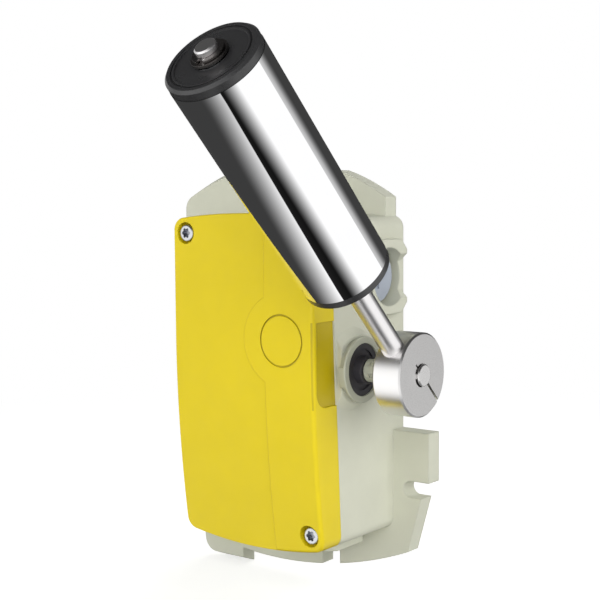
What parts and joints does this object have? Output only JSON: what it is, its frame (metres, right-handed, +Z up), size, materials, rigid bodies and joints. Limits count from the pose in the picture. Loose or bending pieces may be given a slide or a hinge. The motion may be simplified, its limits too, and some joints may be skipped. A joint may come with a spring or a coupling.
{
  "type": "belt alignment safety switch",
  "caption": "Belt-alignment safety position switch with a yellow cover, slotted mounting plate and a spring-returned roller lever on its right side.",
  "frame": {"origin": "centre of the mounting plate's back face, which bears on the wall or bracket", "axes": "+X towards the lever side, -Y out of the cover towards the viewer, +Z up"},
  "size_m": [0.2212, 0.222, 0.3071],
  "materials": {
    "housing_plastic": "matte",
    "cover_plastic": "satin",
    "polished_steel": "polished",
    "brushed_steel": "brushed",
    "shaft_steel": "satin",
    "screw_steel": "satin",
    "spring_steel": "satin",
    "bearing_steel": "polished",
    "black_plastic": "satin",
    "bush_plastic": "matte",
    "black_rubber": "matte",
    "plug_plastic": "satin",
    "contact_plastic": "matte",
    "plunger_plastic": "satin",
    "terminal_brass": "satin"
  },
  "bodies": {
    "base": {"housing": "housing_plastic", "cover": "cover_plastic", "cover_gasket": "black_rubber", "cover_screws": "screw_steel", "side_plug": "plug_plastic", "plug_o_ring": "black_rubber", "shaft_bush": "bush_plastic", "bush_snap_ring": "spring_steel", "shaft_seal": "black_rubber", "return_spring": "spring_steel", "contact_carrier": "shaft_steel", "shaft_stand": "shaft_steel", "stand_screw": "screw_steel", "carrier_screws": "screw_steel", "warning_contact_block": "contact_plastic", "stop_contact_block": "contact_plastic", "terminal_screws": "terminal_brass", "terminal_clamps": "terminal_brass", "earth_terminal": "terminal_brass"},
    "lever": {"lever_rod": "polished_steel", "lever_hub": "brushed_steel", "shaft_collar": "brushed_steel", "lever_shaft": "shaft_steel", "spring_driver": "shaft_steel", "warning_cam": "shaft_steel", "stop_cam": "shaft_steel", "hub_clamp_screw": "screw_steel", "cam_screws": "screw_steel", "shaft_snap_ring": "spring_steel", "lower_snap_ring": "spring_steel", "upper_snap_ring": "spring_steel", "roller_washer": "spring_steel", "lower_bearing_inner_ring": "bearing_steel", "upper_bearing_inner_ring": "bearing_steel", "bearing_spacer": "bearing_steel", "top_spacer": "bearing_steel"},
    "roller": {"roller_tube": "polished_steel", "lower_end_cap": "black_plastic", "upper_end_cap": "black_plastic", "lower_bearing_outer_ring": "bearing_steel", "upper_bearing_outer_ring": "bearing_steel", "lower_bearing_balls": "bearing_steel", "upper_bearing_balls": "bearing_steel"},
    "warning_plunger": {"warning_plunger": "plunger_plastic"},
    "stop_plunger": {"stop_plunger": "plunger_plastic"}
  },
  "joints": [
    {"name": "lever_swing", "type": "hinge", "parent": "base", "child": "lever", "pos_m": [0.1035, -0.0515, 0.011], "axis": [1, 0, 0], "range_deg": [-45, 45], "stiffness_Nm_per_rad": 4, "springref_deg": -9.74},
    {"name": "roller_spin", "type": "hinge", "parent": "lever", "child": "roller", "pos_m": [0.1035, -0.0515, 0.011], "axis": [0, -0.7108, 0.7034], "continuous": true},
    {"name": "warning_press", "type": "slide", "parent": "base", "child": "warning_plunger", "axis": [0, 0, -1], "range_m": [-0.0016, 0.0016]},
    {"name": "stop_press", "type": "slide", "parent": "base", "child": "stop_plunger", "axis": [0, 0, -1], "range_m": [-0.0016, 0.0016]}
  ],
  "couplings": [
    {"joint": "warning_press", "follows": "lever_swing", "m_per_rad": 0.0018},
    {"joint": "stop_press", "follows": "lever_swing", "m_per_rad": -0.0018}
  ]
}
